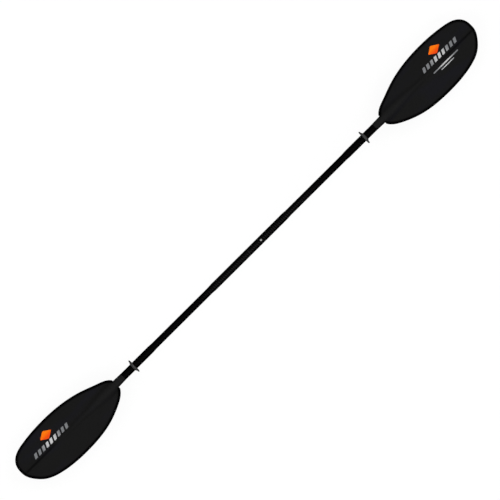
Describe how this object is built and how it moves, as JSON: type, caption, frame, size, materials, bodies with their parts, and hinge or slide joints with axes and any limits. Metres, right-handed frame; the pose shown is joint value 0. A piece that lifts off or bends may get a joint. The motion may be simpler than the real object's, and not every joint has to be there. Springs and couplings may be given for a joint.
{
  "type": "kayak paddle",
  "caption": "Two-piece double-bladed kayak paddle: dished asymmetric blades, oval-gripped tube shaft, sliding drip rings, snap-button ferrule that draws apart and turns to feather.",
  "frame": {"origin": "on the shaft's axis, at the seam where the two halves meet, midway between the blade tips", "axes": "+X along the shaft to the right blade, +Z the way the blades' power faces and the snap button look, +Y the side of the blades' long edges"},
  "size_m": [2.2, 0.187, 0.0539],
  "materials": {
    "blade_nylon": "satin",
    "carbon_tube": "satin",
    "ferrule_glassfibre": "satin",
    "plug_plastic": "matte",
    "spring_steel": "satin",
    "button_steel": "polished",
    "bung_foam": "matte",
    "ring_rubber": "matte",
    "orange_film": "satin",
    "silver_film": "satin"
  },
  "bodies": {
    "left_half": {"left_blade": "blade_nylon", "left_shaft": "carbon_tube", "male_ferrule": "ferrule_glassfibre", "male_ferrule_plug": "plug_plastic", "snap_spring": "spring_steel", "left_foam_bung": "bung_foam", "left_blade_badge": "orange_film", "left_blade_stripes": "silver_film"},
    "ferrule_slider": {"right_foam_bung": "bung_foam"},
    "right_half": {"right_blade": "blade_nylon", "right_shaft": "carbon_tube", "female_ferrule": "ferrule_glassfibre", "right_blade_badge": "orange_film", "right_blade_stripes": "silver_film", "right_blade_pinstripes": "silver_film"},
    "button": {"snap_button": "button_steel"},
    "left_ring": {"left_drip_ring": "ring_rubber"},
    "right_ring": {"right_drip_ring": "ring_rubber"}
  },
  "joints": [
    {"name": "ferrule_draw", "type": "slide", "parent": "left_half", "child": "ferrule_slider", "axis": [1, 0, 0], "range_m": [0, 0.1], "deforming": ["snap_spring", "snap_button"]},
    {"name": "feather_turn", "type": "hinge", "parent": "ferrule_slider", "child": "right_half", "pos_m": [0, 0, 0], "axis": [1, 0, 0], "range_deg": [-60, 60], "deforming": ["snap_spring", "snap_button"]},
    {"name": "button_press", "type": "slide", "parent": "left_half", "child": "button", "axis": [0, 0, -1], "range_m": [0, 0.0042], "stiffness_N_per_m": 3000, "springref_m": -0.001, "deforming": ["snap_spring"]},
    {"name": "left_ring_slide", "type": "slide", "parent": "left_half", "child": "left_ring", "axis": [1, 0, 0], "range_m": [-0.038, 0.06]},
    {"name": "right_ring_slide", "type": "slide", "parent": "right_half", "child": "right_ring", "axis": [1, 0, 0], "range_m": [-0.06, 0.038]}
  ]
}
